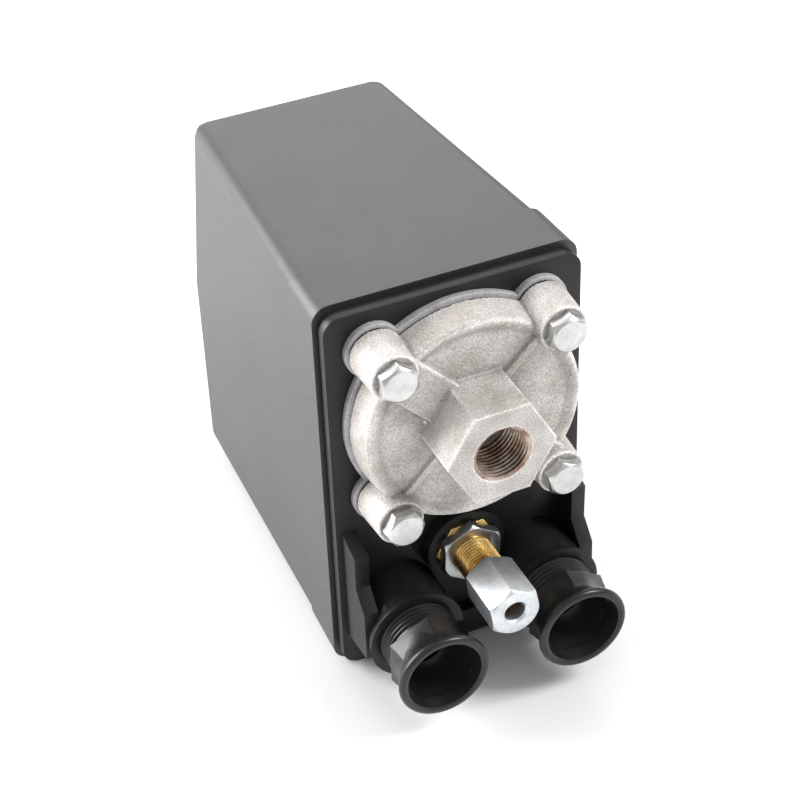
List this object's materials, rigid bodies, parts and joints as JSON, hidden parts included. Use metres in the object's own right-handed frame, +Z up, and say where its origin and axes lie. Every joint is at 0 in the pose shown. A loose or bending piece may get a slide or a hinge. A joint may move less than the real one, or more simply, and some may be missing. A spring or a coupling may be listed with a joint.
{
  "type": "pressure switch",
  "caption": "Compressor pressure switch: cast flange with threaded port, deep black cover, two cable glands and an unloader valve.",
  "frame": {"origin": "centre of the mouth of the threaded pressure port", "axes": "-Y out of the port, so the cover runs back along +Y; +X across the width; +Z up with the switch lying on the long side of its cover, the side next to the cable glands. In use the port usually points down."},
  "size_m": [0.0766, 0.1585, 0.1232],
  "materials": {
    "cast_aluminium": "sand-cast, matt",
    "dark_casting": "matt, dark",
    "rubber_black": "matt",
    "zinc_steel": "zinc plated, semi-bright",
    "base_plastic": "black, satin",
    "cover_plastic": "black, fine texture",
    "gland_plastic": "black, slightly glossy",
    "knob_plastic": "black",
    "steel_sheet": "zinc plated sheet",
    "spring_steel": "oiled spring wire",
    "brass": "machined",
    "contact_brass": "stamped strip",
    "block_plastic": "moulded phenolic",
    "carrier_plastic": "natural moulding"
  },
  "bodies": {
    "base": {"flange_casting": "cast_aluminium", "flange_ring": "dark_casting", "diaphragm": "rubber_black", "flange_bolts": "zinc_steel", "base": "base_plastic", "cover_seal": "rubber_black", "cover_posts": "zinc_steel", "steel_frame": "steel_sheet", "frame_screws": "zinc_steel", "earth_screws": "brass", "range_spring": "spring_steel", "difference_spring": "spring_steel", "pivot_pin": "zinc_steel", "contact_block": "block_plastic", "fixed_contacts": "contact_brass", "terminal_screws": "zinc_steel", "gland_seal_left": "rubber_black", "gland_seal_right": "rubber_black", "valve_body": "brass", "valve_washer": "brass", "valve_lock_nut": "zinc_steel", "valve_spring": "spring_steel"},
    "pressure_plate": {"pressure_plate": "zinc_steel"},
    "rocker": {"rocker": "steel_sheet"},
    "contact_carrier": {"contact_carrier": "carrier_plastic", "moving_contacts": "contact_brass", "contact_springs": "spring_steel"},
    "valve_stem": {"valve_stem": "zinc_steel"},
    "cover": {"cover": "cover_plastic", "cover_screws": "zinc_steel"},
    "knob": {"knob": "knob_plastic", "knob_shaft": "zinc_steel"},
    "gland_ring_left": {"gland_ring_left": "zinc_steel"},
    "gland_nut_left": {"gland_nut_left": "gland_plastic"},
    "gland_ring_right": {"gland_ring_right": "zinc_steel"},
    "gland_nut_right": {"gland_nut_right": "gland_plastic"},
    "olive": {"olive": "brass"},
    "compression_nut": {"compression_nut": "zinc_steel"},
    "range_seat": {"range_seat": "steel_sheet"},
    "range_screw": {"range_screw": "zinc_steel"},
    "difference_seat": {"difference_seat": "brass"},
    "difference_screw": {"difference_screw": "zinc_steel"}
  },
  "joints": [
    {"name": "cover_lift", "type": "slide", "parent": "base", "child": "cover", "axis": [0, 1, 0], "range_m": [0, 0.15]},
    {"name": "knob_turn", "type": "hinge", "parent": "base", "child": "knob", "pos_m": [0, 0.13, -0.042], "axis": [0, 1, 0], "range_deg": [0, 90]},
    {"name": "pressure_stroke", "type": "slide", "parent": "base", "child": "pressure_plate", "axis": [0, 1, 0], "range_m": [0, 0.0012], "stiffness_N_per_m": 5000, "springref_m": -0.001, "deforming": ["difference_spring"]},
    {"name": "rocker_tilt", "type": "hinge", "parent": "base", "child": "rocker", "pos_m": [0, 0.047, -0.018], "axis": [-1, 0, 0], "range_deg": [0, 3.83]},
    {"name": "contact_stroke", "type": "slide", "parent": "base", "child": "contact_carrier", "axis": [0, -1, 0], "range_m": [0, 0.00194]},
    {"name": "valve_stroke", "type": "slide", "parent": "base", "child": "valve_stem", "axis": [0, -1, 0], "range_m": [0, 0.00211], "deforming": ["valve_spring"]},
    {"name": "gland_left_travel", "type": "slide", "parent": "base", "child": "gland_ring_left", "axis": [0, 1, 0], "range_m": [-0.003, 0.0015], "deforming": ["gland_seal_left"]},
    {"name": "gland_left_turn", "type": "hinge", "parent": "gland_ring_left", "child": "gland_nut_left", "pos_m": [-0.02125, 0, -0.0647], "axis": [0, 1, 0], "range_deg": [-721, 361]},
    {"name": "gland_right_travel", "type": "slide", "parent": "base", "child": "gland_ring_right", "axis": [0, 1, 0], "range_m": [-0.003, 0.0015], "deforming": ["gland_seal_right"]},
    {"name": "gland_right_turn", "type": "hinge", "parent": "gland_ring_right", "child": "gland_nut_right", "pos_m": [0.02125, 0, -0.0647], "axis": [0, 1, 0], "range_deg": [-721, 361]},
    {"name": "tube_nut_travel", "type": "slide", "parent": "base", "child": "olive", "axis": [0, -1, 0], "range_m": [0, 0.006]},
    {"name": "tube_nut_turn", "type": "hinge", "parent": "olive", "child": "compression_nut", "pos_m": [0, 0, -0.0495], "axis": [0, -1, 0], "range_deg": [0, 2161]},
    {"name": "range_travel", "type": "slide", "parent": "base", "child": "range_seat", "axis": [0, -1, 0], "range_m": [-0.00375, 0.00375], "deforming": ["range_spring"]},
    {"name": "range_turn", "type": "hinge", "parent": "range_seat", "child": "range_screw", "pos_m": [0, 0.115, 0], "axis": [0, -1, 0], "range_deg": [-1081, 1081]},
    {"name": "difference_travel", "type": "slide", "parent": "base", "child": "difference_seat", "axis": [0, -1, 0], "range_m": [-0.0024, 0.0024]},
    {"name": "difference_turn", "type": "hinge", "parent": "difference_seat", "child": "difference_screw", "pos_m": [0, 0.113, 0.022], "axis": [0, -1, 0], "range_deg": [-1081, 1081]}
  ],
  "couplings": [
    {"joint": "rocker_tilt", "follows": "pressure_stroke", "rad_per_m": 55.556},
    {"joint": "contact_stroke", "follows": "pressure_stroke", "ratio": 1.6111},
    {"joint": "valve_stroke", "follows": "pressure_stroke", "ratio": 1.75},
    {"joint": "gland_left_turn", "follows": "gland_left_travel", "rad_per_m": 4188.8},
    {"joint": "gland_right_turn", "follows": "gland_right_travel", "rad_per_m": 4188.8},
    {"joint": "tube_nut_turn", "follows": "tube_nut_travel", "rad_per_m": 6283.2},
    {"joint": "range_turn", "follows": "range_travel", "rad_per_m": 5026.5},
    {"joint": "difference_turn", "follows": "difference_travel", "rad_per_m": 7854}
  ]
}
